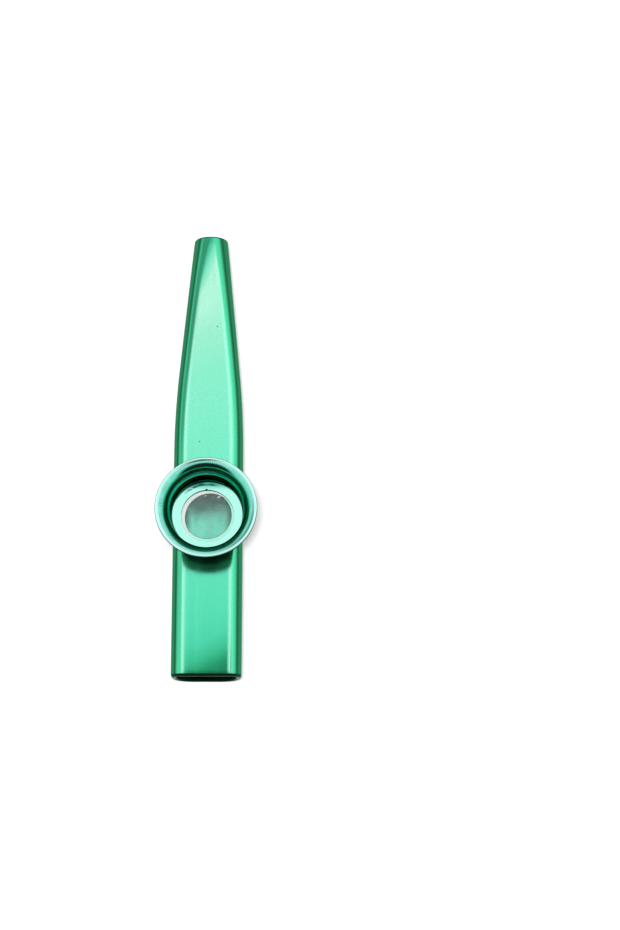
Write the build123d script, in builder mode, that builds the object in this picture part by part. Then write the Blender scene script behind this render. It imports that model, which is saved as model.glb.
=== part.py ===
# Kazoo: a drawn metal tube with a threaded socket on its flat top, a membrane in the socket,
# and a flared bell that screws in and clamps the membrane under a ring.
# Millimetres. X runs across the tube, Y along it towards the outlet, Z up from the rest face.
import os
from math import cos, pi, sin

from build123d import *

os.makedirs("parts", exist_ok=True)

# Tube
tube_length = 120.0
tube_width = 18.3
tube_height = 10.4
tube_wall = 0.8
top_corner = 3.0  # radius of the corners beside the flat top
bottom_corner = 5.6  # radius of the corners beside the rest face
outlet_diameter = 9.0
taper_length = 49.4  # outlet end to the shoulder, where the taper meets the straight side
shoulder_blend = 22.0  # length of the curve that rounds the shoulder off
outlet_corner_share = 0.48  # of the outlet's diameter, so that the end is all but round
corner_limit_share = 0.96  # most of a section's height or width that two corners take up
corner_power = 3  # how late along the taper the corners open out to the round end
station_shares = (0, 0.04, 0.08, 0.14, 0.2, 0.28, 0.36, 0.5, 0.65, 0.8, 0.9, 1)  # along the taper

# Rolled ends of the tube
mouth_turn = 0.6  # how far the lip stands in from the inside wall
mouth_lip = 1.4  # length of the lip along the tube
outlet_turn = 0.2
outlet_lip = 3.0
lip_round_share = 0.6  # rounding of a lip's outside, of its thickness
lip_edge_share = 0.25  # chamfer of a lip's inside, of its thickness
roll_shares = (0, 0.33, 0.67, 1)  # sections round the quarter circle of a rolled end

# Threaded socket on the tube's flat top
socket_setback = 28.4  # from the shoulder back to the socket's axis
spigot_diameter = 13.3
spigot_wall = 0.4
spigot_reach = 0.8  # below the inside of the tube's top
spigot_fit = 0.02
socket_floor = 0.7
socket_wall = 1.0
socket_edge = 0.3  # chamfer round the socket's mouth and foot

# Screw thread between the socket and the bell's neck
thread_diameter = 20.8
thread_length = 3.3
thread_fit = 0.05
neck_wall = 0.8

# Membrane, lying off centre within its slack
film_thickness = 0.05
paper_thickness = 0.15
paper_bore = 13.0
membrane_slack = 0.65
membrane_shift_x = 0.58
membrane_shift_y = -0.28

# Ring that holds the membrane down
window_diameter = 14.0
flange_thickness = 0.4
flange_slack = 0.35
boss_height = 0.4
boss_slack = 0.12
boss_edge = 0.1  # chamfer round the boss and the window

# Bell
flare_width = 3.2
flare_height = 5.3
shoulder_gap = 0.3  # between the socket's mouth and the start of the flare
rim_lip = 0.475  # level lip outside the flare
rim_thickness = 0.9
rim_edge_share = 0.3  # chamfer of the lip, of its thickness
neck_edge = 0.15

overrun = 1.0  # how far a cut runs past what it cuts

# Places along the tube, and heights of the stack on its top
mouth_y = -tube_length / 2
outlet_y = tube_length / 2
shoulder_y = outlet_y - taper_length
blend_y = shoulder_y - shoulder_blend / 2
socket_y = shoulder_y - socket_setback
axis_z = tube_height / 2
seat_z = tube_height + socket_floor
paper_z = seat_z + film_thickness
flange_z = paper_z + paper_thickness
neck_z = flange_z + flange_thickness
socket_top_z = neck_z + thread_length
flare_z = socket_top_z + shoulder_gap
rim_z = flare_z + flare_height

# Radii about the socket's axis
spigot_radius = spigot_diameter / 2
neck_radius = thread_diameter / 2
socket_bore_radius = neck_radius + thread_fit
socket_radius = socket_bore_radius + socket_wall
throat_radius = neck_radius - neck_wall
flare_radius = throat_radius + flare_width
rim_radius = flare_radius + rim_lip
window_radius = window_diameter / 2
boss_radius = throat_radius - boss_slack
flange_radius = socket_bore_radius - flange_slack
membrane_radius = socket_bore_radius - membrane_slack

# Lips of the tube's two ends
mouth_thickness = tube_wall + mouth_turn
outlet_thickness = tube_wall + outlet_turn
mouth_round = mouth_thickness * lip_round_share
outlet_round = outlet_thickness * lip_round_share
outlet_bore_radius = outlet_diameter / 2 - outlet_thickness

across = Plane(origin=(0, socket_y, 0), x_dir=(1, 0, 0), z_dir=(0, -1, 0))  # radius and height
socket_axis = Axis((0, socket_y, 0), (0, 0, 1))


def station(y):
    """Plane square to the tube at y, facing the mouth end, with X across and Y up."""
    return Plane(origin=(0, y, 0), x_dir=(1, 0, 0), z_dir=(0, -1, 0))


def narrowing(y):
    """Share of the taper done at y: 0 on the straight tube, 1 at the outlet end."""
    past = y - blend_y
    if past <= 0:
        return 0
    if past < shoulder_blend:
        return past**2 / (2 * shoulder_blend * taper_length)
    return (y - shoulder_y) / taper_length


def tube_section(y, inset):
    """The tube's section at y, set in from the outside by inset."""
    share = narrowing(y)
    opened = share**corner_power
    width = tube_width + (outlet_diameter - tube_width) * share
    height = tube_height + (outlet_diameter - tube_height) * share
    end_corner = outlet_corner_share * outlet_diameter
    top = top_corner + (end_corner - top_corner) * opened
    bottom = bottom_corner + (end_corner - bottom_corner) * opened
    bottom = min(bottom, corner_limit_share * width / 2, corner_limit_share * height - top)
    with BuildSketch(station(y)) as section:
        with Locations((0, axis_z)):
            Rectangle(width - 2 * inset, height - 2 * inset)
        fillet(section.vertices().group_by(Axis.Y)[-1], top - inset)
        fillet(section.vertices().group_by(Axis.Y)[0], bottom - inset)
    return section.sketch


def tube_form(start_y, end_y, inset, mode):
    """Straight tube from start_y, then the taper through its sections to end_y."""
    stations = [blend_y + share * (end_y - blend_y) for share in station_shares]
    extrude(tube_section(blend_y, inset), amount=blend_y - start_y, mode=mode)
    loft([tube_section(y, inset) for y in stations], mode=mode)


def rolled_end(end_y, outward, radius):
    """Round an end off: sections that draw in over a quarter circle up to end_y."""
    turns = [share * pi / 2 for share in roll_shares]
    sections = [
        tube_section(end_y - outward * radius * (1 - sin(turn)), radius * (1 - cos(turn)))
        for turn in turns
    ]
    loft(sections, ruled=True)


# Tube: outer form, hollow, the two mouths through the rolled lips, and the socket's hole
with BuildPart() as body_tube:
    tube_form(mouth_y + mouth_round, outlet_y - outlet_round, 0, Mode.ADD)
    rolled_end(mouth_y, -1, mouth_round)
    rolled_end(outlet_y, 1, outlet_round)
    tube_form(mouth_y + mouth_lip, outlet_y - outlet_lip, tube_wall, Mode.SUBTRACT)
    mouth = tube_section(mouth_y + mouth_lip + overrun, mouth_thickness)
    extrude(mouth, amount=mouth_lip + 2 * overrun, mode=Mode.SUBTRACT)
    with BuildSketch(station(outlet_y + overrun)):
        with Locations((0, axis_z)):
            Circle(outlet_bore_radius)
    extrude(amount=outlet_lip + 2 * overrun, mode=Mode.SUBTRACT)
    with BuildSketch(Plane.XY.offset(axis_z)):
        with Locations((0, socket_y)):
            Circle(spigot_radius + spigot_fit)
    extrude(amount=tube_height, mode=Mode.SUBTRACT)
    for lip, end in ((mouth_thickness, 0), (outlet_thickness, -1)):
        end_face = body_tube.faces().sort_by(Axis.Y)[end]
        chamfer(end_face.inner_wires()[0].edges(), lip * lip_edge_share)
body_tube.part.label = "body_tube"
export_step(body_tube.part, "parts/body_tube.step")

# Socket: floor on the tube's top, spigot down through its hole, threaded wall up
with BuildPart() as turret_socket:
    with BuildSketch(across):
        with BuildLine():
            Polyline(
                (spigot_radius - spigot_wall, tube_height - tube_wall - spigot_reach),
                (spigot_radius, tube_height - tube_wall - spigot_reach),
                (spigot_radius, tube_height),
                (socket_radius, tube_height),
                (socket_radius, socket_top_z),
                (socket_bore_radius, socket_top_z),
                (socket_bore_radius, seat_z),
                (spigot_radius - spigot_wall, seat_z),
                close=True,
            )
        make_face()
    revolve(axis=socket_axis)
    outer_edges = turret_socket.edges().filter_by(GeomType.CIRCLE).group_by(SortBy.RADIUS)[-1]
    chamfer(outer_edges, socket_edge)
turret_socket.part.label = "turret_socket"
export_step(turret_socket.part, "parts/turret_socket.step")

# Membrane: film on the socket's floor, with the paper ring that it is stuck to
with BuildPart() as membrane_film:
    with BuildSketch(Plane.XY.offset(seat_z)):
        with Locations((membrane_shift_x, socket_y + membrane_shift_y)):
            Circle(membrane_radius)
    extrude(amount=film_thickness)
membrane_film.part.label = "membrane_film"
export_step(membrane_film.part, "parts/membrane_film.step")

with BuildPart() as membrane_ring:
    with BuildSketch(Plane.XY.offset(paper_z)):
        with Locations((membrane_shift_x, socket_y + membrane_shift_y)):
            Circle(membrane_radius)
            Circle(paper_bore / 2, mode=Mode.SUBTRACT)
    extrude(amount=paper_thickness)
membrane_ring.part.label = "membrane_ring"
export_step(membrane_ring.part, "parts/membrane_ring.step")

# Ring: flange under the bell's neck, boss up inside it, and the window
with BuildPart() as pressure_ring:
    with BuildSketch(across):
        with BuildLine():
            Polyline(
                (window_radius, flange_z),
                (flange_radius, flange_z),
                (flange_radius, neck_z),
                (boss_radius, neck_z),
                (boss_radius, neck_z + boss_height),
                (window_radius, neck_z + boss_height),
                close=True,
            )
        make_face()
    revolve(axis=socket_axis)
    chamfer(pressure_ring.edges().group_by(Axis.Z)[-1], boss_edge)
pressure_ring.part.label = "pressure_ring"
export_step(pressure_ring.part, "parts/pressure_ring.step")

# Bell: threaded neck, a trumpet flare with both walls quarter ellipses, and a level lip
with BuildPart() as bell:
    flare_centre = (flare_radius, flare_z)
    under_width = flare_width - neck_wall
    under_height = flare_height - rim_thickness
    with BuildSketch(across):
        with BuildLine():
            inner = EllipticalCenterArc(flare_centre, flare_width, flare_height, start_angle=90)
            outer = EllipticalCenterArc(flare_centre, under_width, under_height, start_angle=90)
            Polyline(inner @ 0, (rim_radius, rim_z), (rim_radius, rim_z - rim_thickness), outer @ 0)
            Polyline(inner @ 1, (throat_radius, neck_z), (neck_radius, neck_z), outer @ 1)
        make_face()
    revolve(axis=socket_axis)
    rim_edges = bell.edges().filter_by(GeomType.CIRCLE).group_by(SortBy.RADIUS)[-1]
    chamfer(rim_edges, rim_thickness * rim_edge_share)
    chamfer(bell.edges().group_by(Axis.Z)[0], neck_edge)
bell.part.label = "bell"
export_step(bell.part, "parts/bell.step")
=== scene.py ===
from math import atan2, cos, hypot, pi, radians, sin

import bmesh
import bpy
from mathutils import Matrix, Vector


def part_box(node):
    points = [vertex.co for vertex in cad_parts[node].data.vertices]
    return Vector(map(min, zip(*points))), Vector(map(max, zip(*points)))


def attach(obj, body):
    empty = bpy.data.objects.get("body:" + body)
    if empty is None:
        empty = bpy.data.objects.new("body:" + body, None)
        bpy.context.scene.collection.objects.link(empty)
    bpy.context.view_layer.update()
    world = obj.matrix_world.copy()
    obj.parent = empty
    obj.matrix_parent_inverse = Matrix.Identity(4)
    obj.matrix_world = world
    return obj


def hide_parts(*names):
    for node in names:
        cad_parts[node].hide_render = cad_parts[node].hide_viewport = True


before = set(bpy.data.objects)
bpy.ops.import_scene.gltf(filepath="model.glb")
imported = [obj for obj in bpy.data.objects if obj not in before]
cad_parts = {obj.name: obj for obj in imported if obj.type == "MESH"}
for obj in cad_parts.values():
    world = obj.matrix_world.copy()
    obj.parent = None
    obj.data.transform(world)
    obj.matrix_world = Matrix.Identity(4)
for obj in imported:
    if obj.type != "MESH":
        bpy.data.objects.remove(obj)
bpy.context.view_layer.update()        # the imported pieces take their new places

scene = bpy.context.scene
scene.view_settings.view_transform = "Standard"

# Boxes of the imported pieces: tube and stack are placed from these
tubeLow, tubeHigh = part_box("body_tube")
socketLow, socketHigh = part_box("turret_socket")
filmLow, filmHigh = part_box("membrane_film")
paperLow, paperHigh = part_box("membrane_ring")
ringLow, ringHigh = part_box("pressure_ring")
bellLow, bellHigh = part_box("bell")
tubeMiddle = (tubeLow + tubeHigh) / 2
stackAxis = (bellLow + bellHigh) / 2           # the socket, ring and bell share this axis
paperAxis = (paperLow + paperHigh) / 2         # the membrane lies a little off it
print("frame loaded:", ", ".join(sorted(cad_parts)))


thread = {                       # of the bell's neck in the socket
    "pitch": 0.00075,
    "footShare": 0.86,           # widths of the ridge's foot and crest, of the pitch
    "crestShare": 0.22,
    "sink": 0.00004,             # how far its foot runs into the wall
    "steps": 96,
    "fadeSteps": 30,
    "leastShare": 0.1,           # of its depth, where it has faded out
}


# Modelling helpers

def clearSelection():
    if bpy.context.object and bpy.context.object.mode != "OBJECT":
        bpy.ops.object.mode_set(mode="OBJECT")
    bpy.ops.object.select_all(action="DESELECT")


def pick(piece, wanted):
    # selects the vertices whose place answers True
    bpy.ops.mesh.select_mode(type="VERT")
    bpy.ops.mesh.select_all(action="DESELECT")
    mesh = bmesh.from_edit_mesh(piece.data)
    for vertex in mesh.verts:
        vertex.select_set(not vertex.hide and wanted(vertex.co))
    mesh.select_flush(True)
    bmesh.update_edit_mesh(piece.data)


def faceOutward(piece):
    # every face outwards, told by the sign of the enclosed volume
    bpy.ops.mesh.select_all(action="SELECT")
    bpy.ops.mesh.normals_make_consistent(inside=False)
    if bmesh.from_edit_mesh(piece.data).calc_volume(signed=True) < 0:
        bpy.ops.mesh.flip_normals()


def arcRings(centre, width, height, fromTurn, toTurn, steps):
    # rings round a quarter of an ellipse, as (radius, height) pairs
    turns = [fromTurn + (toTurn - fromTurn) * step / steps for step in range(steps + 1)]
    return [(centre[0] + width * cos(turn), centre[1] + height * sin(turn)) for turn in turns]


def turnPiece(name, rings, axis, segments, capped=False):
    # turns a profile: each ring is extruded from the last and drawn out to its radius
    clearSelection()
    radius, height = rings[0]
    bpy.ops.mesh.primitive_circle_add(vertices=segments, radius=radius, location=(axis.x, axis.y, height))
    piece = bpy.context.object
    piece.name = piece.data.name = name
    bpy.ops.object.transform_apply(location=True, rotation=True, scale=True)
    bpy.ops.object.mode_set(mode="EDIT")
    bpy.ops.mesh.select_all(action="SELECT")
    for nextRadius, nextHeight in rings[1:]:
        rise = nextHeight - height
        growth = nextRadius / radius
        bpy.ops.mesh.extrude_region_move(TRANSFORM_OT_translate={"value": (0, 0, rise)})
        bpy.ops.transform.resize(value=(growth, growth, 1), center_override=(axis.x, axis.y, nextHeight))
        radius, height = nextRadius, nextHeight
    bpy.ops.mesh.select_all(action="DESELECT")
    bpy.ops.mesh.select_non_manifold()
    if capped:
        bpy.ops.mesh.fill_holes(sides=0)
        bpy.ops.mesh.poke()
    else:
        bpy.ops.mesh.bridge_edge_loops()
    faceOutward(piece)
    bpy.ops.object.mode_set(mode="OBJECT")
    return piece


def shiftBore(piece, axis, within, shift):
    # moves a turned piece's bore off the axis
    bpy.ops.object.mode_set(mode="EDIT")
    pick(piece, lambda place: hypot(place.x - axis.x, place.y - axis.y) < within)
    bpy.ops.transform.translate(value=shift)
    bpy.ops.object.mode_set(mode="OBJECT")


def cutPiece(piece, tool, operation):
    # a boolean cut or union with another mesh, which is then thrown away
    clearSelection()
    piece.select_set(True)
    bpy.context.view_layer.objects.active = piece
    change = piece.modifiers.new("cut", "BOOLEAN")
    change.object = tool
    change.operation = operation
    change.solver = "EXACT"
    bpy.ops.object.modifier_apply(modifier=change.name)
    bpy.data.objects.remove(tool)


def windThread(root, crest, low, turns):
    # one ridge of a screw thread: a tapered section wound up the axis, fading out at both ends
    clearSelection()
    depth, pitch = crest - root, thread["pitch"]
    bpy.ops.mesh.primitive_plane_add(size=1, rotation=(pi / 2, 0, 0))
    piece = bpy.context.object
    bpy.ops.object.transform_apply(location=True, rotation=True, scale=True)
    bpy.ops.object.mode_set(mode="EDIT")
    bpy.ops.mesh.select_all(action="SELECT")
    bpy.ops.mesh.delete(type="ONLY_FACE")
    bpy.ops.mesh.select_all(action="SELECT")
    bpy.ops.transform.resize(value=(abs(depth), 1, pitch * thread["footShare"]))
    bpy.ops.transform.translate(value=((root + crest) / 2, 0, 0))
    pick(piece, lambda place: abs(place.x - crest) < abs(depth) / 2)
    bpy.ops.transform.resize(value=(1, 1, thread["crestShare"] / thread["footShare"]))
    pick(piece, lambda place: abs(place.x - root) < abs(depth) / 2)
    sunk = -thread["sink"] if depth > 0 else thread["sink"]
    bpy.ops.transform.translate(value=(sunk, 0, 0))
    bpy.ops.object.mode_set(mode="OBJECT")
    screw = piece.modifiers.new("wind", "SCREW")
    screw.screw_offset = pitch
    screw.iterations = turns
    screw.steps = screw.render_steps = thread["steps"]
    bpy.ops.object.modifier_apply(modifier=screw.name)
    last = len(piece.data.vertices) // 4 - 1
    for vertex in piece.data.vertices:
        step = vertex.index // 4
        fade = min(1, step / thread["fadeSteps"], (last - step) / thread["fadeSteps"])
        foot = root + sunk / 2
        radius = hypot(vertex.co.x, vertex.co.y)
        scale = (foot + (radius - foot) * max(fade, thread["leastShare"])) / radius
        vertex.co.x, vertex.co.y = vertex.co.x * scale, vertex.co.y * scale
    bpy.ops.object.mode_set(mode="EDIT")
    bpy.ops.mesh.select_all(action="SELECT")
    bpy.ops.mesh.fill_holes(sides=4)
    bpy.ops.mesh.select_all(action="SELECT")
    bpy.ops.transform.translate(value=(stackAxis.x, stackAxis.y, low))
    faceOutward(piece)
    bpy.ops.object.mode_set(mode="OBJECT")
    return piece


def dressPiece(piece, material, body, node, creaseAngle, evenFlats=True):
    # shading, finish and the body that carries the piece
    clearSelection()
    piece.select_set(True)
    bpy.context.view_layer.objects.active = piece
    bpy.ops.object.shade_smooth_by_angle(angle=radians(creaseAngle))
    if evenFlats:
        weighted = piece.modifiers.new("flatFaces", "WEIGHTED_NORMAL")
        weighted.keep_sharp = True
        bpy.ops.object.modifier_apply(modifier=weighted.name)
    piece.data.materials.clear()
    piece.data.materials.append(material)
    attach(piece, body)
    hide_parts(node)
    print(piece.name, "made:", len(piece.data.polygons), "faces")


# Finishes

def newMaterial(name):
    material = bpy.data.materials.new(name)
    material.use_nodes = True
    tree = material.node_tree
    return material, tree, tree.nodes["Principled BSDF"]


def addNode(tree, kind, **values):
    node = tree.nodes.new(kind)
    for key, value in values.items():
        if hasattr(node, key):
            setattr(node, key, value)
        else:
            node.inputs[key].default_value = value
    return node


def calc(tree, operation, *inputs):
    # a math node on sockets or plain numbers
    node = tree.nodes.new("ShaderNodeMath")
    node.operation = operation
    for socket, value in zip(node.inputs, inputs):
        if isinstance(value, (int, float)):
            socket.default_value = value
        else:
            tree.links.new(value, socket)
    return node.outputs[0]


def mapRange(tree, value, kind, low, high, toLow, toHigh):
    node = addNode(tree, "ShaderNodeMapRange", interpolation_type=kind)
    tree.links.new(value, node.inputs["Value"])
    for name, number in (("From Min", low), ("From Max", high), ("To Min", toLow), ("To Max", toHigh)):
        node.inputs[name].default_value = number
    return node.outputs["Result"]


def ease(tree, value, low, high, toLow=0, toHigh=1):
    # smooth step of a socket between two values
    return mapRange(tree, value, "SMOOTHSTEP", low, high, toLow, toHigh)


def blendColours(tree, share, first, second):
    node = tree.nodes.new("ShaderNodeMix")
    node.data_type = "RGBA"
    tree.links.new(share, node.inputs["Factor"])
    for socket, value in ((node.inputs["A"], first), (node.inputs["B"], second)):
        if isinstance(value, tuple):
            socket.default_value = value
        else:
            tree.links.new(value, socket)
    return node.outputs["Result"]


def colourRamp(tree, value, stops):
    node = tree.nodes.new("ShaderNodeValToRGB")
    tree.links.new(value, node.inputs["Fac"])
    ramp = node.color_ramp
    while len(ramp.elements) < len(stops):
        ramp.elements.new(0.5)
    for element, (place, colour) in zip(ramp.elements, stops):
        element.position, element.color = place, colour
    return node.outputs["Color"]


def splitXyz(tree, socket):
    node = tree.nodes.new("ShaderNodeSeparateXYZ")
    tree.links.new(socket, node.inputs[0])
    return node.outputs


def ringPlace(tree, place, axis):
    # radius and turn round an upright axis
    parts = splitXyz(tree, place)
    x = calc(tree, "SUBTRACT", parts["X"], axis.x)
    y = calc(tree, "SUBTRACT", parts["Y"], axis.y)
    radius = calc(tree, "SQRT", calc(tree, "ADD", calc(tree, "MULTIPLY", x, x), calc(tree, "MULTIPLY", y, y)))
    return radius, calc(tree, "ARCTAN2", y, x)


def noiseAt(tree, place, scale, stretch=(1, 1, 1), detail=2):
    # soft noise from 0 to 1, drawn out by stretch
    mapping = addNode(tree, "ShaderNodeMapping", Scale=stretch)
    noise = addNode(tree, "ShaderNodeTexNoise", Scale=scale, Detail=detail)
    tree.links.new(place, mapping.inputs["Vector"])
    tree.links.new(mapping.outputs["Vector"], noise.inputs["Vector"])
    return noise.outputs["Fac"]


def noiseAlong(tree, value, scale, detail=3):
    # noise on one number, such as a radius
    noise = addNode(tree, "ShaderNodeTexNoise", noise_dimensions="1D", Scale=scale, Detail=detail)
    tree.links.new(value, noise.inputs["W"])
    return noise.outputs["Fac"]


def spread(tree, value, toLow, toHigh, low=0.3, high=0.7):
    # the middle of a noise, or another range, laid out evenly over a range
    return mapRange(tree, value, "LINEAR", low, high, toLow, toHigh)


def shadeColour(tree, colour, value):
    # a colour made lighter or darker by a number near 1
    node = tree.nodes.new("ShaderNodeHueSaturation")
    tree.links.new(colour, node.inputs["Color"])
    tree.links.new(value, node.inputs["Value"])
    return node.outputs["Color"]


def addBump(tree, shader, height, distance):
    node = addNode(tree, "ShaderNodeBump", Distance=distance)
    tree.links.new(height, node.inputs["Height"])
    tree.links.new(node.outputs["Normal"], shader.inputs["Normal"])


tubeFinish = {
    "length": [                  # painted light and shade along the tube, from the mouth to the outlet: painted shade at the mouth, a painted highlight near the outlet and shade again at it
        (0.00, (0.020, 0.33, 0.15, 1)),
        (0.016, (0.026, 0.41, 0.19, 1)),
        (0.044, (0.061, 0.65, 0.35, 1)),
        (0.078, (0.093, 0.78, 0.48, 1)),
        (0.12, (0.110, 0.82, 0.51, 1)),
        (0.50, (0.200, 0.82, 0.56, 1)),
        (0.68, (0.250, 0.83, 0.58, 1)),
        (0.78, (0.340, 0.86, 0.62, 1)),
        (0.84, (0.450, 0.93, 0.70, 1)),
        (0.90, (0.440, 0.93, 0.70, 1)),
        (0.95, (0.200, 0.80, 0.53, 1)),
        (0.975, (0.085, 0.61, 0.37, 1)),
        (1.00, (0.042, 0.38, 0.22, 1)),
    ],
    "skew": (0.036, 0.050, 0.5, 3.0),    # the painted light along the tube sits on a slant, darker sooner on one side, most along the taper
    "edgeHighlight": (0.34, 0.90, 0.66, 1),   # painted highlight where the flat top turns down
    "paleFrom": (0.014, 0.035),          # sideways shares of the normal
    "paleUntil": (0.055, 0.118),
    "paleFade": (0.036, 0.050),          # where the pale edges end, along the tube
    "corners": (0.105, 0.83, 0.46, 1),   # painted shade: darker round the corners and darkest down the sides
    "cornerEdge": (0.985, 0.996),
    "sides": (0.022, 0.21, 0.09, 1),
    "sideEdge": (0.80, 0.95),
    "ends": (0.006, 0.05, 0.025, 1),     # the rolled ends, with painted shade where they face along the tube
    "endEdge": (0.14, 0.42),
    "mouthShare": -2,                    # how much sooner the mouth end counts as facing along
    "grazing": (0.55, 0.60, 0.57, 1),
    "roughness": (0.15, 0.21),
    "streaks": (600, (1, 0.012, 1), 4),  # scale, stretch and detail of the drawing marks
    "streakShade": (0.97, 1.03),
    "peel": 900,                         # scales of the faint orange peel and of the grain
    "grain": 4500,
    "grainShade": (0.92, 1.08),
    "bump": 0.0000010,
    "specks": [(0.00211, 0.03423, 0.01007), (-0.00232, 0.00232, 0.0104)],
    "speckSize": (0.00010, 0.00026),
    "speckColour": (0.02, 0.22, 0.13, 1),
}


def drawnGreenMetal():
    # bright green anodised metal, drawn along the tube
    material, tree, shader = newMaterial("drawn_green_metal")
    place = addNode(tree, "ShaderNodeTexCoord")
    at = place.outputs["Object"]
    facing = splitXyz(tree, place.outputs["Normal"])
    upward = facing["Z"]
    parts = splitXyz(tree, at)
    # painted light and shade along the tube, set on a slant
    skew = ease(tree, parts["Y"], *tubeFinish["skew"])
    skewed = calc(tree, "SUBTRACT", parts["Y"], calc(tree, "MULTIPLY", parts["X"], skew))
    colour = colourRamp(tree, spread(tree, skewed, 0, 1, tubeLow.y, tubeHigh.y), tubeFinish["length"])
    # painted shade round the corners
    colour = blendColours(tree, ease(tree, upward, *tubeFinish["cornerEdge"]), tubeFinish["corners"], colour)
    sideways = calc(tree, "ABSOLUTE", facing["X"])
    # painted highlight along the flat top's edges
    pale = ease(tree, sideways, *tubeFinish["paleFrom"])
    pale = calc(tree, "MULTIPLY", pale, ease(tree, sideways, *tubeFinish["paleUntil"], 1, 0))
    pale = calc(tree, "MULTIPLY", pale, ease(tree, parts["Y"], *tubeFinish["paleFade"], 1, 0))
    colour = blendColours(tree, pale, colour, tubeFinish["edgeHighlight"])
    # painted shade down the sides
    colour = blendColours(tree, ease(tree, upward, *tubeFinish["sideEdge"]), tubeFinish["sides"], colour)
    # painted shade on the ends that face along the tube
    mouthwise = calc(tree, "MULTIPLY", facing["Y"], tubeFinish["mouthShare"])
    endwise = calc(tree, "MAXIMUM", facing["Y"], mouthwise)
    colour = blendColours(tree, ease(tree, endwise, *tubeFinish["endEdge"]), colour, tubeFinish["ends"])
    # drawing marks, orange peel, grain and two specks
    streaks = noiseAt(tree, at, *tubeFinish["streaks"])
    peel = noiseAt(tree, at, tubeFinish["peel"])
    grain = noiseAt(tree, at, tubeFinish["grain"])
    colour = shadeColour(tree, colour, spread(tree, streaks, *tubeFinish["streakShade"]))
    colour = shadeColour(tree, colour, spread(tree, grain, *tubeFinish["grainShade"]))
    for speckPlace in tubeFinish["specks"]:
        away = addNode(tree, "ShaderNodeVectorMath", operation="DISTANCE")
        tree.links.new(at, away.inputs[0])
        away.inputs[1].default_value = speckPlace
        speck = ease(tree, away.outputs["Value"], *tubeFinish["speckSize"], 1, 0)
        colour = blendColours(tree, speck, colour, tubeFinish["speckColour"])
    tree.links.new(colour, shader.inputs["Base Color"])
    tree.links.new(spread(tree, streaks, *tubeFinish["roughness"]), shader.inputs["Roughness"])
    addBump(tree, shader, calc(tree, "ADD", streaks, peel), tubeFinish["bump"])
    shader.inputs["Metallic"].default_value = 1
    shader.inputs["Specular Tint"].default_value = tubeFinish["grazing"]
    return material


satinFinish = {
    "length": [                  # painted light: bright under the window, with painted shade towards both ends
        (0.00, (0.004, 0.02, 0.01, 1)),
        (0.06, (0.010, 0.06, 0.03, 1)),
        (0.22, (0.190, 0.98, 0.70, 1)),
        (0.48, (0.190, 0.98, 0.70, 1)),
        (0.70, (0.030, 0.22, 0.13, 1)),
        (1.00, (0.006, 0.04, 0.02, 1)),
    ],
    "roughness": (0.31, 0.41),
    "darkReflectionLine": (0.0002, 0.0022, 0.86),    # a painted dark reflection line along the bottom
    "streaks": (500, (1, 0.02, 1), 4),
    "streakShade": (0.93, 1.07),
    "bump": 0.000003,
}


def satinGreenMetal():
    # the inside of the tube, as drawn, without the polish
    material, tree, shader = newMaterial("satin_green_metal")
    at = addNode(tree, "ShaderNodeTexCoord").outputs["Object"]
    parts = splitXyz(tree, at)
    length = spread(tree, parts["Y"], 0, 1, tubeLow.y, tubeHigh.y)
    streaks = noiseAt(tree, at, *satinFinish["streaks"])
    # painted light under the window, painted shade towards the ends
    colour = colourRamp(tree, length, satinFinish["length"])
    # painted dark reflection line along the bottom
    line = ease(tree, calc(tree, "ABSOLUTE", parts["X"]), *satinFinish["darkReflectionLine"], 1)
    colour = shadeColour(tree, colour, line)
    colour = shadeColour(tree, colour, spread(tree, streaks, *satinFinish["streakShade"]))
    tree.links.new(colour, shader.inputs["Base Color"])
    tree.links.new(spread(tree, streaks, *satinFinish["roughness"]), shader.inputs["Roughness"])
    addBump(tree, shader, streaks, satinFinish["bump"])
    shader.inputs["Metallic"].default_value = 1
    return material


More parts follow.
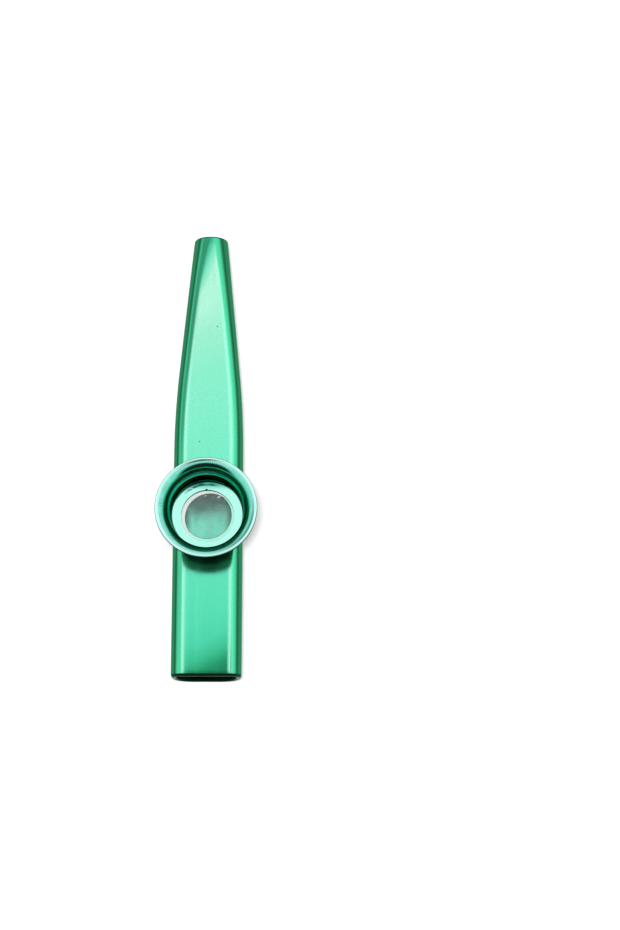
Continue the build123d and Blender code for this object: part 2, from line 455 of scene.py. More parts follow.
turnedFinish = {
    "tilt": [                    # painted light and shade by how far a face looks up, from underneath to the top
        (0.00, (0.004, 0.03, 0.015, 1)),
        (0.42, (0.004, 0.03, 0.015, 1)),
        (0.54, (0.030, 0.30, 0.18, 1)),
        (0.57, (0.150, 0.88, 0.62, 1)),
        (0.65, (0.170, 0.92, 0.68, 1)),
        (0.69, (0.020, 0.22, 0.12, 1)),
        (0.74, (0.012, 0.16, 0.08, 1)),
        (0.78, (0.050, 0.50, 0.30, 1)),
        (0.82, (0.110, 0.74, 0.48, 1)),
        (0.875, (0.190, 0.88, 0.64, 1)),
        (0.925, (0.260, 0.96, 0.77, 1)),
        (0.96, (0.360, 0.98, 0.83, 1)),
        (1.00, (0.450, 0.96, 0.82, 1)),
    ],
    "throat": [                  # up the throat: painted reflection bands, bright and dull
        (0.00, (0.006, 0.05, 0.03, 1)),
        (0.18, (0.010, 0.08, 0.05, 1)),
        (0.26, (0.150, 0.90, 0.64, 1)),
        (0.46, (0.110, 0.80, 0.55, 1)),
        (0.54, (0.008, 0.07, 0.04, 1)),
        (0.64, (0.010, 0.10, 0.06, 1)),
        (0.72, (0.090, 0.70, 0.44, 1)),
        (0.82, (0.020, 0.20, 0.11, 1)),
        (1.00, (0.010, 0.10, 0.05, 1)),
    ],
    "throatTop": 0.0153,
    "throatEdge": (0.03, 0.12),          # upward share where the flare takes over
    "outside": (0.013, 0.13, 0.07, 1),   # painted shade on the walls that look outwards
    "outsideEdge": (0.25, 0.70),
    "gapShade": (0.010, 0.10, 0.06, 1),      # painted shade in the corner round the ring's boss
    "gapShadeHeight": (0.01172, 0.01190),
    "farSideShade": (0.040, 0.44, 0.31, 1),   # painted shade: the ring darkens towards its far edge
    "farSideShadeFrom": (0.0062, 0.0086),
    "stain": (0.008, 0.09, 0.07, 1),     # a streaky mark on the ring: radius, turn, and how they fade
    "stainRadius": (0.0081, 0.00020, 0.00050),
    "stainTurn": (1.75, 0.30, 0.75),
    "stainStreaks": (0.32, 0.54),
    "stainNoise": (1300, (0.35, 1, 1), 3),
    "wornRim": (0.62, 0.95, 0.90, 1),    # the bell's rim, worn to bare metal
    "rimInside": (0.01262, 0.0129),
    "rimOutside": (0.0130, 0.0132),
    "rimUpward": (0.5, 0.9),
    "grazing": (0.02, 0.12, 0.07, 1),
    "roughness": (0.06, 0.12),
    "marks": 9000,               # turning marks to the metre
    "markShade": (0.96, 1.04),
    "bump": 0.0000008,
    "chatter": 132,              # ripples round the flare, where the tool chattered
    "chatterBand": (0.0111, 0.0116),
    "chatterEnd": (0.0121, 0.0126),
    "chatterPatches": 5,         # how often they come and go
    "chatterMark": (0.1, 0.55),  # heights that show as painted dark reflection marks
    "chatterDark": 0.5,
    "chatterBump": 12.0,         # against the height of the turning marks
}


def turnedGreenMetal(name, forPiece):
    # paler green anodising on lathe-turned pieces
    material, tree, shader = newMaterial(name)
    place = addNode(tree, "ShaderNodeTexCoord")
    facing = splitXyz(tree, place.outputs["Normal"])
    upward = facing["Z"]
    # painted light and shade by how far each face looks up
    colour = colourRamp(tree, spread(tree, upward, 0, 1, -1, 1), turnedFinish["tilt"])
    radius, turn = ringPlace(tree, place.outputs["Object"], stackAxis)
    outward = calc(tree, "ADD", calc(tree, "MULTIPLY", facing["X"], calc(tree, "COSINE", turn)),
                   calc(tree, "MULTIPLY", facing["Y"], calc(tree, "SINE", turn)))
    height = splitXyz(tree, place.outputs["Object"])["Z"]
    if forPiece == "bell":
        # painted reflection bands up the throat
        throatBands = spread(tree, height, 0, 1, bellLow.z, turnedFinish["throatTop"])
        throatBands = colourRamp(tree, throatBands, turnedFinish["throat"])
        colour = blendColours(tree, ease(tree, upward, *turnedFinish["throatEdge"]), throatBands, colour)
    if forPiece == "ring":
        # painted shade towards the ring's far edge
        farther = calc(tree, "MULTIPLY", radius, calc(tree, "SINE", turn))
        farSideShade = ease(tree, farther, *turnedFinish["farSideShadeFrom"])
        colour = blendColours(tree, farSideShade, colour, turnedFinish["farSideShade"])
        away, awayTurn = turnedFinish["stainRadius"], turnedFinish["stainTurn"]
        stain = ease(tree, calc(tree, "ABSOLUTE", calc(tree, "SUBTRACT", radius, away[0])), *away[1:], 1, 0)
        roundFrom = calc(tree, "ABSOLUTE", calc(tree, "SUBTRACT", turn, awayTurn[0]))
        stain = calc(tree, "MULTIPLY", stain, ease(tree, roundFrom, *awayTurn[1:], 1, 0))
        streaky = noiseAt(tree, place.outputs["Object"], *turnedFinish["stainNoise"])
        stain = calc(tree, "MULTIPLY", stain, ease(tree, streaky, *turnedFinish["stainStreaks"]))
        colour = blendColours(tree, stain, colour, turnedFinish["stain"])
        # painted shade in the gap round the boss
        gapShaded = ease(tree, height, *turnedFinish["gapShadeHeight"], 1, 0)
        colour = blendColours(tree, gapShaded, colour, turnedFinish["gapShade"])
    # painted shade on the outward-facing walls
    outside = ease(tree, outward, *turnedFinish["outsideEdge"])
    colour = blendColours(tree, outside, colour, turnedFinish["outside"])
    marks = noiseAlong(tree, calc(tree, "ADD", radius, height), turnedFinish["marks"])
    relief = marks
    if forPiece == "bell":
        worn = ease(tree, radius, *turnedFinish["rimInside"])
        worn = calc(tree, "MULTIPLY", worn, ease(tree, radius, *turnedFinish["rimOutside"], 1, 0))
        worn = calc(tree, "MULTIPLY", worn, ease(tree, upward, *turnedFinish["rimUpward"]))
        colour = blendColours(tree, worn, colour, turnedFinish["wornRim"])
        # chatter: ripples that come and go round the flare, with painted dark reflection on them
        ripple = calc(tree, "SINE", calc(tree, "MULTIPLY", turn, turnedFinish["chatter"]))
        ripple = calc(tree, "MULTIPLY", ripple, noiseAlong(tree, turn, turnedFinish["chatterPatches"]))
        ripple = calc(tree, "MULTIPLY", ripple, ease(tree, radius, *turnedFinish["chatterBand"]))
        ripple = calc(tree, "MULTIPLY", ripple, ease(tree, radius, *turnedFinish["chatterEnd"], 1, 0))
        # the ripples' dark marks are painted reflection
        mark = ease(tree, ripple, *turnedFinish["chatterMark"], 1, turnedFinish["chatterDark"])
        colour = shadeColour(tree, colour, mark)
        relief = calc(tree, "ADD", marks, calc(tree, "MULTIPLY", ripple, turnedFinish["chatterBump"]))
    colour = shadeColour(tree, colour, spread(tree, marks, *turnedFinish["markShade"]))
    tree.links.new(colour, shader.inputs["Base Color"])
    tree.links.new(spread(tree, marks, *turnedFinish["roughness"]), shader.inputs["Roughness"])
    addBump(tree, shader, relief, turnedFinish["bump"])
    shader.inputs["Metallic"].default_value = 1
    shader.inputs["Specular Tint"].default_value = turnedFinish["grazing"]
    return material


cardFinishes = {
    "pulp": [(0.30, (0.84, 0.89, 0.90, 1)), (0.70, (0.95, 0.97, 0.97, 1))],
    "fibres": (2600, (1, 0.25, 1), 5),
    "roughness": (0.75, 0.92),
    "bump": 0.00001,
}


def whiteCard():
    # white card with short fibres
    material, tree, shader = newMaterial("white_card")
    at = addNode(tree, "ShaderNodeTexCoord").outputs["Object"]
    fibres = noiseAt(tree, at, *cardFinishes["fibres"])
    tree.links.new(colourRamp(tree, fibres, cardFinishes["pulp"]), shader.inputs["Base Color"])
    tree.links.new(spread(tree, fibres, *cardFinishes["roughness"]), shader.inputs["Roughness"])
    addBump(tree, shader, fibres, cardFinishes["bump"])
    return material


filmFinishes = {
    "tint": [(0.30, (0.70, 0.83, 0.87, 1)), (0.70, (0.82, 0.93, 0.95, 1))],
    "creaseGlintColour": (0.95, 0.93, 0.94, 1),
    "haze": (0.05, 0.09),        # how much of the film itself shows
    "creases": [(-0.0011, 0.0055, 0.0004), (0.0024, 0.0052, 0.0006)],    # painted glints, from the film's middle
    "creaseGlintHaze": 0.75,
    "creaseSlant": 0.5,
    "creaseThinness": 5,
    "creaseCore": 0.4,           # of its size
    "flecks": (4000, (1, 1, 1), 3),
    "fleckEdge": (0.35, 0.6),
    "wrinkles": (420, (1, 2.5, 1), 3),
    "roughness": (0.12, 0.30),
    "bump": 0.00004,
}


def clearFilm():
    # thin clear plastic, faintly hazy, with painted glints on two small creases
    material, tree, shader = newMaterial("clear_film")
    at = addNode(tree, "ShaderNodeTexCoord").outputs["Object"]
    wrinkles = noiseAt(tree, at, *filmFinishes["wrinkles"])
    flecks = noiseAt(tree, at, *filmFinishes["flecks"])
    parts = splitXyz(tree, at)
    white = None
    # painted glints along two creases
    for acrossFilm, alongFilm, size in filmFinishes["creases"]:
        x = calc(tree, "SUBTRACT", parts["X"], paperAxis.x + acrossFilm)
        y = calc(tree, "SUBTRACT", parts["Y"], paperAxis.y + alongFilm)
        slanted = calc(tree, "SUBTRACT", y, calc(tree, "MULTIPLY", x, filmFinishes["creaseSlant"]))
        thin = calc(tree, "MULTIPLY", slanted, slanted)
        thin = calc(tree, "MULTIPLY", thin, filmFinishes["creaseThinness"])
        away = calc(tree, "SQRT", calc(tree, "ADD", calc(tree, "MULTIPLY", x, x), thin))
        crease = ease(tree, away, size * filmFinishes["creaseCore"], size, 1, 0)
        white = crease if white is None else calc(tree, "MAXIMUM", white, crease)
    white = calc(tree, "MULTIPLY", white, ease(tree, flecks, *filmFinishes["fleckEdge"]))
    tint = colourRamp(tree, wrinkles, filmFinishes["tint"])
    tree.links.new(blendColours(tree, white, tint, filmFinishes["creaseGlintColour"]), shader.inputs["Base Color"])
    haze = spread(tree, wrinkles, *filmFinishes["haze"])
    haze = calc(tree, "ADD", haze, calc(tree, "MULTIPLY", white, filmFinishes["creaseGlintHaze"]))
    tree.links.new(haze, shader.inputs["Alpha"])
    tree.links.new(spread(tree, wrinkles, *filmFinishes["roughness"]), shader.inputs["Roughness"])
    addBump(tree, shader, wrinkles, filmFinishes["bump"])
    return material


satinMetal = satinGreenMetal()
drawnMetal = drawnGreenMetal()
socketMetal = turnedGreenMetal("socket_green_metal", "socket")
ringMetal = turnedGreenMetal("ring_green_metal", "ring")
bellMetal = turnedGreenMetal("bell_green_metal", "bell")
cardFinish = whiteCard()
filmFinish = clearFilm()


# Tube: rounded sections bridged along the length, out round both rolled lips and back inside

tube = {
    "wall": 0.0008,
    "topCorner": 0.0030,         # corners beside the flat top
    "bottomCorner": 0.0056,
    "outlet": 0.0090,            # outside diameter of the round end
    "outletCornerShare": 0.48,
    "cornerLimitShare": 0.96,
    "cornerPower": 3,            # how late the corners open out to the round end
    "taper": 0.0494,             # outlet end to the shoulder
    "blend": 0.022,              # curve that rounds the shoulder off
    "mouthLip": (0.0014, 0.0014),      # thickness, length
    "outletLip": (0.0010, 0.0030),
    "outerRoundShare": 0.6,      # of a lip's thickness
    "innerRoundShare": 0.25,
    "lipFall": 0.00005,          # the end of a lip falls in a little towards its bore
    "cornerSteps": 10,
    "flatCuts": 8,
    "straightStep": 0.004,
    "lipHold": 0.0008,           # keeps the lip's rounding out of the flat top's shading
    "taperStep": 0.002,
    "spigotHole": 0.00667,
    "holeSteps": 128,
    "innerSteps": 4,             # round a lip's inside and outside
    "outerSteps": 8,
    "insideFacing": -0.3,        # faces that look this much towards the tube's axis are its inside
}


def tubeNarrowing(y):
    # 0 on the straight tube, 1 at the outlet end
    shoulder = tubeHigh.y - tube["taper"]
    past = y - shoulder + tube["blend"] / 2
    if past <= 0:
        return 0
    if past < tube["blend"]:
        return past**2 / (2 * tube["blend"] * tube["taper"])
    return (y - shoulder) / tube["taper"]


def addTubeSection(piece, y, inset):
    # a plane stood across the tube, drawn to size, its corners rounded and its face taken out
    share = tubeNarrowing(y)
    opened = share ** tube["cornerPower"]
    fullWidth, fullHeight = tubeHigh.x - tubeLow.x, tubeHigh.z - tubeLow.z
    width = fullWidth + (tube["outlet"] - fullWidth) * share
    height = fullHeight + (tube["outlet"] - fullHeight) * share
    endCorner = tube["outletCornerShare"] * tube["outlet"]
    top = tube["topCorner"] + (endCorner - tube["topCorner"]) * opened
    bottom = tube["bottomCorner"] + (endCorner - tube["bottomCorner"]) * opened
    limit = tube["cornerLimitShare"]
    bottom = min(bottom, limit * width / 2, limit * height - top)
    middle = (tubeMiddle.x, y, tubeMiddle.z)
    bpy.ops.mesh.primitive_plane_add(size=1, location=middle, rotation=(pi / 2, 0, 0))
    bpy.ops.transform.resize(value=(width - 2 * inset, 1, height - 2 * inset), center_override=middle)
    for above, radius in ((True, top - inset), (False, bottom - inset)):
        mesh = bmesh.from_edit_mesh(piece.data)
        corners = sorted((v for v in mesh.verts if not v.hide), key=lambda v: v.co.z)
        corners = corners[-2:] if above else corners[:2]
        bpy.ops.mesh.select_all(action="DESELECT")
        for corner in corners:
            corner.select_set(True)
        bmesh.update_edit_mesh(piece.data)
        bpy.ops.mesh.bevel(
            offset_type="ABSOLUTE", offset=radius, segments=tube["cornerSteps"], affect="VERTICES"
        )
    bpy.ops.mesh.select_all(action="SELECT")
    bpy.ops.mesh.delete(type="ONLY_FACE")
    # the flat top is cut into strips, so that its edges shade round a little
    crest = middle[2] + height / 2 - inset
    pick(piece, lambda place: place.z > crest - 1e-6)
    bpy.ops.mesh.subdivide(number_cuts=tube["flatCuts"])
    bpy.ops.mesh.select_all(action="SELECT")
    piece.vertex_groups.new(name=f"section{len(piece.vertex_groups)}")
    bpy.ops.object.vertex_group_assign()
    bpy.ops.mesh.hide()


def quarterTurns(steps):
    return [pi / 2 * step / steps for step in range(steps + 1)]


def lipSections(end, outward, thickness):
    # (y, inset) round a rolled lip, from its inside edge out to the wall
    inner = thickness * tube["innerRoundShare"]
    outer = thickness * tube["outerRoundShare"]
    inside = [
        (end - outward * (tube["lipFall"] + inner * (1 - sin(turn))), thickness - inner + inner * cos(turn))
        for turn in quarterTurns(tube["innerSteps"])
    ]
    outside = [
        (end - outward * outer * (1 - cos(turn)), outer * (1 - sin(turn)))
        for turn in quarterTurns(tube["outerSteps"])
    ]
    return inside + outside


def evenSteps(start, end, step):
    count = max(1, round(abs(end - start) / step))
    return [start + (end - start) * number / count for number in range(1, count)]


def tubeSections():
    # the closed chain of sections that the tube's skin follows
    mouth, outlet = tubeLow.y, tubeHigh.y
    mouthThickness, mouthLength = tube["mouthLip"]
    outletThickness, outletLength = tube["outletLip"]
    wall = tube["wall"]
    blendStart = outlet - tube["taper"] - tube["blend"] / 2
    mouthEnd = lipSections(mouth, -1, mouthThickness)
    outletEnd = lipSections(outlet, 1, outletThickness)[::-1]
    flatStart = mouthEnd[-1][0] + tube["lipHold"]
    outside = [(flatStart, 0)]
    outside += [(y, 0) for y in evenSteps(flatStart, blendStart, tube["straightStep"])]
    outside += [(blendStart, 0)]
    outside += [(y, 0) for y in evenSteps(blendStart, outletEnd[0][0], tube["taperStep"])]
    lipStep = mouthThickness - wall
    insideStart = outlet - outletLength
    insideEnd = mouth + mouthLength
    inside = [(insideStart, outletThickness), (insideStart - outletThickness + wall, wall)]
    inside += [(y, wall) for y in evenSteps(insideStart, blendStart, 2 * tube["taperStep"])]
    inside += [(blendStart, wall), (insideEnd + lipStep, wall), (insideEnd, mouthThickness)]
    return mouthEnd + outside + outletEnd + inside


def makeTube():
    clearSelection()
    bpy.ops.mesh.primitive_plane_add(size=1)
    piece = bpy.context.object
    piece.name = piece.data.name = "drawn_tube"
    bpy.ops.object.mode_set(mode="EDIT")
    bpy.ops.mesh.delete(type="VERT")
    sections = tubeSections()
    for y, inset in sections:
        addTubeSection(piece, y, inset)
    bpy.ops.mesh.reveal(select=False)
    for number in range(len(sections)):
        bpy.ops.mesh.select_all(action="DESELECT")
        for near in (number, (number + 1) % len(sections)):
            piece.vertex_groups.active_index = near
            bpy.ops.object.vertex_group_select()
        bpy.ops.mesh.bridge_edge_loops()
    faceOutward(piece)
    bpy.ops.object.mode_set(mode="OBJECT")
    piece.vertex_groups.clear()
    # the hole in the flat top that the socket's spigot goes through
    clearSelection()
    bpy.ops.mesh.primitive_cylinder_add(
        vertices=tube["holeSteps"], radius=tube["spigotHole"], depth=tubeHigh.z - tubeLow.z,
        location=(stackAxis.x, stackAxis.y, tubeHigh.z),
    )
    cutPiece(piece, bpy.context.object, "DIFFERENCE")
    return piece


def paintInside(piece):
    # faces that look towards the tube's own axis
    piece.data.materials.append(satinMetal)
    for face in piece.data.polygons:
        outward = face.center - Vector((tubeMiddle.x, face.center.y, tubeMiddle.z))
        if face.normal.dot(outward.normalized()) < tube["insideFacing"]:
            face.material_index = 1


drawnTube = makeTube()
dressPiece(drawnTube, drawnMetal, "body", "body_tube", 40, evenFlats=False)
paintInside(drawnTube)


# Socket: floor on the tube's top, spigot down through the hole, wall up round the thread

socket = {
    "spigot": 0.00665,
    "spigotBore": 0.00625,
    "bore": 0.01045,             # crest of its thread
    "threadRoot": 0.01075,
    "threadTurns": 4,
    "edge": 0.0003,
    "seatEdge": 0.00012,
    "lead": 0.0003,              # bevel that the bell's neck goes in by
    "segments": 192,
}


def makeSocket():
    outside = socketHigh.x - stackAxis.x
    edge, root = socket["edge"], socket["threadRoot"]
    top, foot, low, seat = socketHigh.z, tubeHigh.z, socketLow.z, filmLow.z
    rings = [
        (socket["spigotBore"], low), (socket["spigot"], low), (socket["spigot"], foot),
        (outside - edge, foot), (outside, foot + edge), (outside, top - edge), (outside - edge, top),
        (root + socket["lead"], top), (root, top - socket["lead"]), (root, seat),
        (socket["spigotBore"] + socket["seatEdge"], seat), (socket["spigotBore"], seat - socket["seatEdge"]),
    ]
    piece = turnPiece("threaded_socket", rings, stackAxis, socket["segments"])
    start = top - socket["lead"] - (socket["threadTurns"] + 0.5) * thread["pitch"]
    cutPiece(piece, windThread(root, socket["bore"], start, socket["threadTurns"]), "UNION")
    return piece


threadedSocket = makeSocket()
dressPiece(threadedSocket, socketMetal, "body", "turret_socket", 30)


# Membrane: the film, and the card ring that it is stuck to

membrane = {
    "cardBore": 0.00657,
    "cardBoreShift": (0.00015, -0.00045, 0),    # punched a little off its middle
    "cardEdge": 0.00003,
    "segments": 160,
    "filmRings": 16,
    "freeRadius": 0.0060,        # the film is loose inside this
    "lift": 0.00001,             # off the seat, so that the two don't share a face
    "slack": 0.00022,            # how much it wrinkles there
    "wrinkleSize": 0.0035,
}


def makeCardRing():
    outside, bore, edge = paperHigh.x - paperAxis.x, membrane["cardBore"], membrane["cardEdge"]
    low, high = paperLow.z, paperHigh.z
    rings = [
        (bore, low), (outside, low), (outside, high - edge), (outside - edge, high),
        (bore + edge, high), (bore, high - edge),
    ]
    piece = turnPiece("card_ring", rings, paperAxis, membrane["segments"])
    shiftBore(piece, paperAxis, bore + 2 * edge, membrane["cardBoreShift"])
    return piece


def makeFilm():
    outside = filmHigh.x - paperAxis.x
    count = membrane["filmRings"]
    radii = [membrane["freeRadius"] * number / count for number in range(1, count + 1)] + [outside]
    rings = [(radius, filmLow.z + membrane["lift"]) for radius in radii]
    rings += [(radius, filmHigh.z) for radius in radii[::-1]]
    piece = turnPiece("buzzing_film", rings, paperAxis, membrane["segments"], capped=True)
    # the loose middle is wrinkled a little, both faces alike
    loose = piece.vertex_groups.new(name="loose")
    for vertex in piece.data.vertices:
        away = hypot(vertex.co.x - paperAxis.x, vertex.co.y - paperAxis.y) / membrane["freeRadius"]
        loose.add([vertex.index], max(0, 1 - away**4), "REPLACE")
    wrinkles = bpy.data.textures.new("wrinkles", "CLOUDS")
    wrinkles.noise_scale = membrane["wrinkleSize"]
    crumple = piece.modifiers.new("crumple", "DISPLACE")
    crumple.texture, crumple.texture_coords = wrinkles, "LOCAL"
    crumple.direction, crumple.strength = "Z", membrane["slack"]
    crumple.vertex_group = loose.name
    clearSelection()
    piece.select_set(True)
    bpy.context.view_layer.objects.active = piece
    bpy.ops.object.modifier_apply(modifier=crumple.name)
    piece.vertex_groups.clear()
    return piece


cardRing = makeCardRing()
dressPiece(cardRing, cardFinish, "membrane_pack", "membrane_ring", 30)
buzzingFilm = makeFilm()
dressPiece(buzzingFilm, filmFinish, "membrane_pack", "membrane_film", 30)


# Ring that holds the membrane down, with the window

ring = {
    "window": 0.0069,
    "windowShift": (0.0001, -0.0004, 0),
    "boss": 0.00925,
    "bossFoot": 0.0117,
    "edge": 0.00005,
    "hold": 0.0001,              # keeps the edges' rounding out of the flat's shading
    "nicks": [(92, 0.0066, 0.00030), (59, 0.00925, 0.00036)],    # turn, radius and size
    "nickDepth": 0.0006,
    "nickSteps": 12,
    "edgeSteps": 4,
    "segments": 256,
}


def makeRing():
    outside = ringHigh.x - stackAxis.x
    edge, window, boss, top = ring["edge"], ring["window"], ring["boss"], ringHigh.z
    steps, hold = ring["edgeSteps"], ring["hold"]
    rings = [
        (window, ringLow.z), (outside, ringLow.z), (outside, ring["bossFoot"]), (boss, ring["bossFoot"]),
        *arcRings((boss - edge, top - edge), edge, edge, 0, pi / 2, steps),
        (boss - edge - hold, top), (window + edge + hold, top),
        *arcRings((window + edge, top - edge), edge, edge, pi / 2, pi, steps),
    ]
    piece = turnPiece("window_ring", rings, stackAxis, ring["segments"])
    shiftBore(piece, stackAxis, window + 2 * edge + hold, ring["windowShift"])
    for turn, radius, size in ring["nicks"]:
        clearSelection()
        place = stackAxis + Vector((cos(radians(turn)), sin(radians(turn)), 0)) * radius
        bpy.ops.mesh.primitive_cylinder_add(
            vertices=ring["nickSteps"], radius=size, depth=2 * ring["nickDepth"],
            location=(place.x, place.y, top),
        )
        cutPiece(piece, bpy.context.object, "DIFFERENCE")
    return piece


windowRing = makeRing()
dressPiece(windowRing, ringMetal, "membrane_pack", "pressure_ring", 30)


# Bell: threaded neck, trumpet flare and a milled rim

bell = {
    "throat": 0.0096,
    "neck": 0.0104,              # crest of its thread
    "threadRoot": 0.0101,
    "threadTurns": 4,
    "neckEdge": 0.00015,
    "rimLip": 0.000475,          # level lip outside the flare
    "rimEdge": 0.00022,          # rounding of the lip
    "flareHeight": 0.0053,
    "rimThickness": 0.0009,
    "flareSteps": 30,
    "edgeSteps": 5,
    "teeth": 150,                # fine milling round the rim
    "toothDepth": 0.00012,
    "toothShare": 0.9,           # of the lip's rounding that the teeth take up
    "segments": 600,
}


def makeBell():
    rim = bellHigh.x - stackAxis.x
    top, low = bellHigh.z, bellLow.z
    thick, lip, edge, root = bell["rimThickness"], bell["rimLip"], bell["rimEdge"], bell["threadRoot"]
    foot = top - bell["flareHeight"]
    centre = (rim - lip, foot)
    inner = arcRings(centre, centre[0] - bell["throat"], top - foot, pi, pi / 2, bell["flareSteps"])
    outer = arcRings(centre, centre[0] - bell["neck"], top - thick - foot, pi / 2, pi, bell["flareSteps"])
    rings = [(bell["throat"], low)] + inner
    rings += arcRings((rim - edge, top - edge), edge, edge, pi / 2, 0, bell["edgeSteps"])
    rings += arcRings((rim - edge, top - thick + edge), edge, edge, 0, -pi / 2, bell["edgeSteps"])
    rings += outer + [(root, foot - bell["neckEdge"])]
    rings += [(root, low + bell["neckEdge"]), (root - bell["neckEdge"], low)]
    piece = turnPiece("flared_bell", rings, stackAxis, bell["segments"])
    millRim(piece, rim)
    start = low + bell["neckEdge"] + thread["pitch"] / 2
    cutPiece(piece, windThread(root, bell["neck"], start, bell["threadTurns"]), "UNION")
    return piece


def millRim(piece, rim):
    # every tooth has a crest, a valley and a flank each side, drawn in towards the axis
    inside = rim - bell["rimEdge"] * bell["toothShare"]
    perTooth = bell["segments"] // bell["teeth"]
    segmentTurn = 2 * pi / bell["segments"]
    bpy.ops.object.mode_set(mode="EDIT")
    for part in range(1, perTooth):
        depth = bell["toothDepth"] * (1 - abs(2 * part / perTooth - 1))

        def onTooth(place):
            away = place - stackAxis
            number = round(atan2(away.y, away.x) / segmentTurn)
            return hypot(away.x, away.y) > inside and number % perTooth == part

        pick(piece, onTooth)
        shrink = 1 - depth / rim
        bpy.ops.transform.resize(value=(shrink, shrink, 1), center_override=stackAxis)
    bpy.ops.object.mode_set(mode="OBJECT")


flaredBell = makeBell()
dressPiece(flaredBell, bellMetal, "bell", "bell", 30)


# Floor

floor = {
    "size": 8.0,
    "drop": 0.0001,
    "colour": (0.95, 0.95, 0.95, 1),
    "roughness": 0.9,
    "glow": 0.3,
}


def makeFloor():
    clearSelection()
    bpy.ops.mesh.primitive_plane_add(size=floor["size"], location=(0, 0, -floor["drop"]))
    piece = bpy.context.object
    piece.name = "floor"
    material, tree, shader = newMaterial("pale_floor")
    shader.inputs["Base Color"].default_value = floor["colour"]
    shader.inputs["Roughness"].default_value = floor["roughness"]
    shader.inputs["Specular IOR Level"].default_value = 0
    path = addNode(tree, "ShaderNodeLightPath").outputs
    seen = calc(tree, "MAXIMUM", path["Is Camera Ray"], path["Is Glossy Ray"])
    seen = calc(tree, "MAXIMUM", seen, path["Is Transmission Ray"])
    glow = calc(tree, "MULTIPLY", seen, floor["glow"])
    tree.links.new(glow, shader.inputs["Emission Strength"])
    shader.inputs["Emission Color"].default_value = (1, 1, 1, 1)
    piece.data.materials.append(material)


makeFloor()


# Light: a light box with a bright ceiling, a round hole over the object and an open front

lightBox = {
    "hole": (-0.024, 0.0),       # places on the ceiling are sideways and lengthwise slopes from upright
    "holeSize": (0.085, 0.165),
    "holeEdge": (0.76, 1.27),
    "holeLevel": 0.25,
    "lens": (0.045, -0.235),     # a smaller hole for the lens
    "lensSize": 0.16,
    "lensEdge": (0.55, 1.15),
    "lensLevel": 0.12,
    "seam": (-0.044, 0.02, 0.09),    # a dimmer strip down the ceiling: its middle and its soft edge
    "seamLevel": 0.88,
    "ceilingLeft": (-0.42, -0.30),
    "ceilingRight": (0.40, 0.52),
    "ceilingFront": (-0.44, -0.36),
    "ceilingBack": (0.38, 0.56),
    "ceilingSlant": 4.5,         # the left edge runs in towards the back
    "slantFrom": 0.32,
    "ceilingLevel": 1.0,
    "ceilingRise": 0.77,         # brighter towards the back
    "wallLevel": 0.85,
    "wallFoot": (0.0, 0.4),      # upward share where the walls fade
    "footLevel": 0.55,
    "openFront": (-0.80, -0.54),     # lengthwise share where the dark front begins
    "frontLevel": 0.03,
    "dimLeft": (-0.35, -0.10),   # the left wall is dim towards the back
    "dimFar": (-0.80, -0.68),
    "dimBack": (0.17, 0.30),
    "dimHeight": (0.46, 0.62),
    "dimLevel": 0.4,
    "backFoot": (0.65, 0.90),    # low on the back wall it is dark
    "backFootHeight": (0.20, 0.50),
    "leastUpright": 0.02,        # keeps the slopes finite at the horizon
    "mattShare": 0.45,           # of the box's light on matt surfaces, which the lamp lights too
}


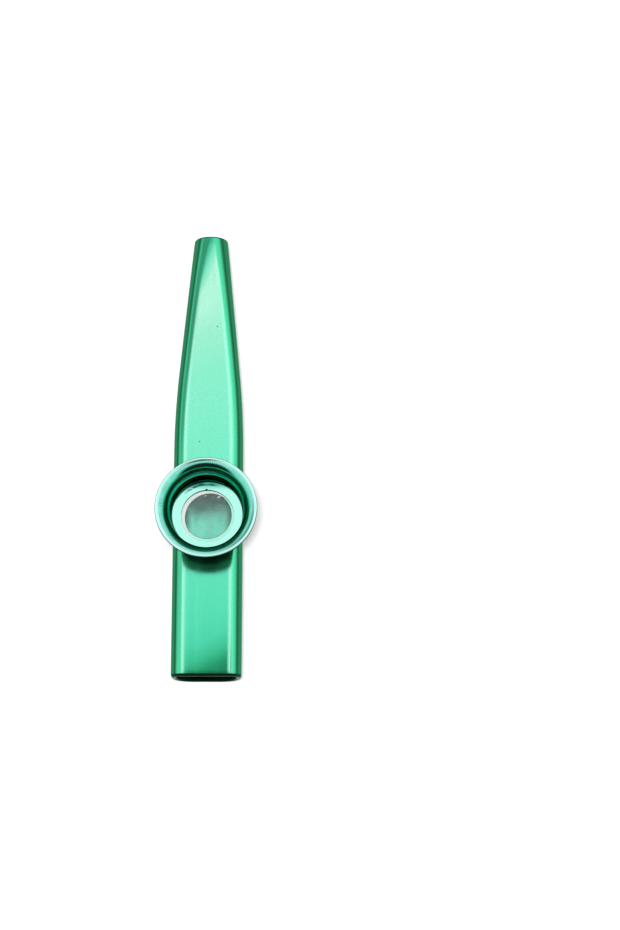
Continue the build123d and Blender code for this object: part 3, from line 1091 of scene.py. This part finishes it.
def makeLightBox():
    world = bpy.data.worlds.new("light_box")
    world.use_nodes = True
    tree = world.node_tree
    place = addNode(tree, "ShaderNodeTexCoord")
    towards = splitXyz(tree, place.outputs["Generated"])
    upright = calc(tree, "MAXIMUM", towards["Z"], lightBox["leastUpright"])
    across = calc(tree, "DIVIDE", towards["X"], upright)
    along = calc(tree, "DIVIDE", towards["Y"], upright)

    def makeHole(middle, sizeX, sizeY, edge, level):
        # 1 outside an oval on the ceiling, the level inside it
        x = calc(tree, "DIVIDE", calc(tree, "SUBTRACT", across, middle[0]), sizeX)
        y = calc(tree, "DIVIDE", calc(tree, "SUBTRACT", along, middle[1]), sizeY)
        square = calc(tree, "ADD", calc(tree, "MULTIPLY", x, x), calc(tree, "MULTIPLY", y, y))
        return ease(tree, calc(tree, "SQRT", square), *edge, level, 1)

    # ceiling with its holes
    shade = makeHole(lightBox["hole"], *lightBox["holeSize"], lightBox["holeEdge"], lightBox["holeLevel"])
    lensSize = lightBox["lensSize"]
    lens = makeHole(lightBox["lens"], lensSize, lensSize, lightBox["lensEdge"], lightBox["lensLevel"])
    shade = calc(tree, "MULTIPLY", shade, lens)
    offSeam = calc(tree, "ABSOLUTE", calc(tree, "SUBTRACT", across, lightBox["seam"][0]))
    seam = ease(tree, offSeam, *lightBox["seam"][1:], lightBox["seamLevel"], 1)
    rise = calc(tree, "MULTIPLY", along, lightBox["ceilingRise"])
    ceilingLevel = calc(tree, "ADD", rise, lightBox["ceilingLevel"])
    ceilingLevel = calc(tree, "MULTIPLY", calc(tree, "MULTIPLY", ceilingLevel, shade), seam)
    slant = calc(tree, "MAXIMUM", calc(tree, "SUBTRACT", along, lightBox["slantFrom"]), 0)
    slant = calc(tree, "MULTIPLY", slant, lightBox["ceilingSlant"])
    ceiling = ease(tree, calc(tree, "SUBTRACT", across, slant), *lightBox["ceilingLeft"])
    ceiling = calc(tree, "MULTIPLY", ceiling, ease(tree, across, *lightBox["ceilingRight"], 1, 0))
    ceiling = calc(tree, "MULTIPLY", ceiling, ease(tree, along, *lightBox["ceilingFront"]))
    ceiling = calc(tree, "MULTIPLY", ceiling, ease(tree, along, *lightBox["ceilingBack"], 1, 0))
    # walls: open in front, dim at the back left and low at the back
    walls = ease(tree, towards["Z"], *lightBox["wallFoot"], lightBox["footLevel"], lightBox["wallLevel"])
    front = ease(tree, towards["Y"], *lightBox["openFront"], lightBox["frontLevel"], 1)
    walls = calc(tree, "MULTIPLY", walls, front)
    dim = calc(tree, "MULTIPLY", ease(tree, towards["X"], *lightBox["dimLeft"], 1, 0),
               ease(tree, towards["Y"], *lightBox["dimBack"]))
    dim = calc(tree, "MULTIPLY", dim, ease(tree, towards["X"], *lightBox["dimFar"]))
    dim = calc(tree, "MULTIPLY", dim, ease(tree, towards["Z"], *lightBox["dimHeight"]))
    walls = calc(tree, "MULTIPLY", walls, spread(tree, dim, 1, lightBox["dimLevel"], 0, 1))
    low = calc(tree, "MULTIPLY", ease(tree, towards["Y"], *lightBox["backFoot"]),
               ease(tree, towards["Z"], *lightBox["backFootHeight"], 1, 0))
    walls = calc(tree, "MULTIPLY", walls, spread(tree, low, 1, lightBox["frontLevel"], 0, 1))
    extra = calc(tree, "MULTIPLY", calc(tree, "SUBTRACT", ceilingLevel, walls), ceiling)
    level = calc(tree, "ADD", walls, extra)
    matt = addNode(tree, "ShaderNodeLightPath").outputs["Is Diffuse Ray"]
    level = calc(tree, "MULTIPLY", level, spread(tree, matt, 1, lightBox["mattShare"], 0, 1))
    tree.links.new(level, tree.nodes["Background"].inputs["Strength"])
    tree.nodes["Background"].inputs["Color"].default_value = (1, 1, 1, 1)
    scene.world = world


makeLightBox()

lamps = {
    "fill_lamp": {"place": (-0.01, -0.18, 1.0), "size": (0.15, 0.15), "floorLevel": 0.62},
}


def makeLamp(name, values):
    # a soft lamp that lights matt surfaces and isn't mirrored in the metal
    data = bpy.data.lights.new(name, "AREA")
    data.shape = "RECTANGLE"
    data.size, data.size_y = values["size"]
    distance = Vector(values["place"]).length
    slope = values["place"][2] / distance
    data.energy = values["floorLevel"] * pi * pi * distance**2 / slope
    lamp = bpy.data.objects.new(name, data)
    scene.collection.objects.link(lamp)
    lamp.location = values["place"]
    lamp.rotation_euler = (-Vector(values["place"])).to_track_quat("-Z", "Y").to_euler()
    lamp.visible_camera = False
    lamp.visible_glossy = False


for lampName, lampValues in lamps.items():
    makeLamp(lampName, lampValues)
print("light box, lamps and floor made")


# Camera at the photograph's angle

view = {
    "place": (0.025544, -0.151814, 0.582662),
    "heading": -0.485,
    "tilt": 14.478,
    "roll": 0.499,
    "lens": 87.05,
    "sensor": 36,
    "nearest": 0.01,
}


def makeCamera():
    data = bpy.data.cameras.new("photo_camera")
    data.lens = view["lens"]
    data.sensor_width = view["sensor"]
    data.clip_start = view["nearest"]
    camera = bpy.data.objects.new("photo_camera", data)
    scene.collection.objects.link(camera)
    turn = (
        Matrix.Rotation(radians(view["heading"]), 4, "Z")
        @ Matrix.Rotation(radians(view["tilt"]), 4, "X")
        @ Matrix.Rotation(radians(view["roll"]), 4, "Z")
    )
    camera.matrix_world = Matrix.Translation(view["place"]) @ turn
    scene.camera = camera


makeCamera()
print("camera made")
